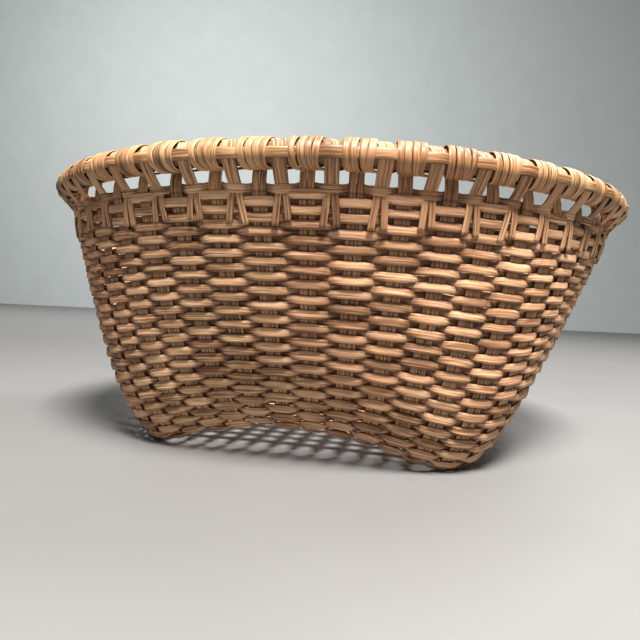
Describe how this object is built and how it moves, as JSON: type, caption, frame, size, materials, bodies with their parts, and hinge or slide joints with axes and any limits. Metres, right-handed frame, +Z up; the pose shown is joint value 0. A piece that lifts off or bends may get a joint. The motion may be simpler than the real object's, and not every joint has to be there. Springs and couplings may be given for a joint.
{
  "type": "woven splint basket",
  "caption": "Round hand-woven basket of flat splints with a wrapped hoop rim, tapering to a rounded-square open-plaited base that stands on its corners.",
  "frame": {"origin": "on the floor, at the centre of the four feet and of the round rim", "axes": "+Z is up out of the mouth; X and Y run square to the sides of the base, so the feet lie on the diagonals"},
  "size_m": [0.3998, 0.3998, 0.168],
  "materials": {
    "standing_splint": "dry, unvarnished",
    "wall_splint": "dry, unvarnished",
    "rim_cane": "smooth cane skin, slight sheen",
    "rim_hoop": "dry, unvarnished"
  },
  "bodies": {
    "root": {"border_round": "wall_splint", "foot_round": "wall_splint", "rim_hoop_inner": "rim_hoop", "rim_hoop_outer": "rim_hoop", "rim_lashing": "rim_cane", "rim_overlay": "rim_cane", "stake_x_01": "standing_splint", "stake_x_02": "standing_splint", "stake_x_03": "standing_splint", "stake_x_04": "standing_splint", "stake_x_05": "standing_splint", "stake_x_06": "standing_splint", "stake_x_07": "standing_splint", "stake_x_08": "standing_splint", "stake_x_09": "standing_splint", "stake_x_10": "standing_splint", "stake_x_11": "standing_splint", "stake_x_12": "standing_splint", "stake_x_13": "standing_splint", "stake_y_01": "standing_splint", "stake_y_02": "standing_splint", "stake_y_03": "standing_splint", "stake_y_04": "standing_splint", "stake_y_05": "standing_splint", "stake_y_06": "standing_splint", "stake_y_07": "standing_splint", "stake_y_08": "standing_splint", "stake_y_09": "standing_splint", "stake_y_10": "standing_splint", "stake_y_11": "standing_splint", "stake_y_12": "standing_splint", "stake_y_13": "standing_splint", "weaver_a1": "wall_splint", "weaver_a2": "wall_splint", "weaver_a3": "wall_splint", "weaver_a4": "wall_splint", "weaver_a5": "wall_splint", "weaver_a6": "wall_splint", "weaver_b1": "wall_splint", "weaver_b2": "wall_splint", "weaver_b3": "wall_splint", "weaver_b4": "wall_splint", "weaver_b5": "wall_splint", "weaver_b6": "wall_splint"}
  },
  "joints": []
}
